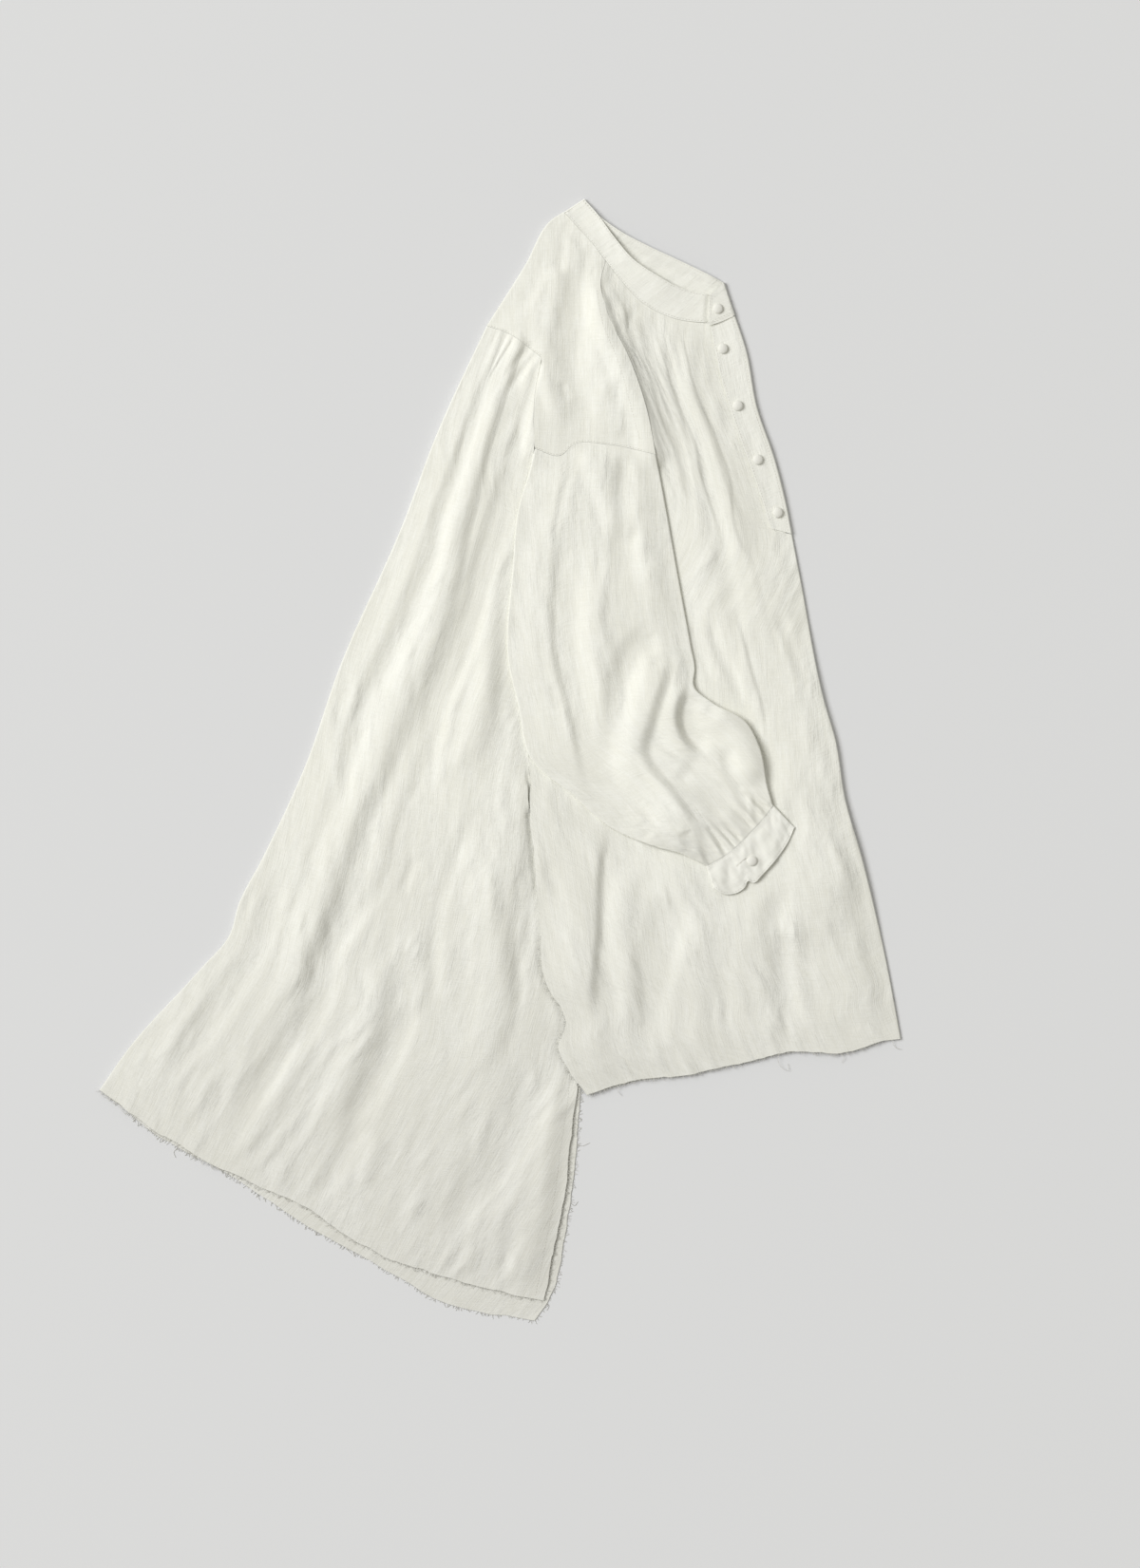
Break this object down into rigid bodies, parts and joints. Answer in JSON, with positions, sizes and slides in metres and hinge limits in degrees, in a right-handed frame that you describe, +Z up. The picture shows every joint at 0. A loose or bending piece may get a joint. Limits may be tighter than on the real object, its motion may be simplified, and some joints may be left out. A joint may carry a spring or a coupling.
{
  "type": "popover shirt",
  "caption": "Full linen popover shirt with band collar, short buttoned placket, gathered sleeves and long back hem, folded down its middle and laid flat.",
  "frame": {"origin": "middle of the laid shirt's outline, on the surface that it lies on", "axes": "+Z up from that surface, +Y from the hems towards the collar, +X from the centre back fold towards the centre front fold; the wearer's right side lies on top"},
  "size_m": [0.801, 1.122, 0.0226],
  "materials": {
    "linen": "plain weave, washed, slightly crinkled",
    "linen_doubled": "plain weave in two layers, edge stitched",
    "button_linen": "plain weave drawn over a domed button"
  },
  "bodies": {
    "root": {"back": "linen", "front": "linen", "yoke": "linen", "sleeve_right": "linen", "sleeve_left": "linen", "cuff_right": "linen_doubled", "cuff_left": "linen_doubled", "collar": "linen_doubled", "placket_over": "linen_doubled", "placket_under": "linen_doubled", "button_collar": "button_linen", "button_placket_1": "button_linen", "button_placket_2": "button_linen", "button_placket_3": "button_linen", "button_placket_4": "button_linen", "button_cuff_right": "button_linen", "button_cuff_left": "button_linen"}
  },
  "joints": []
}
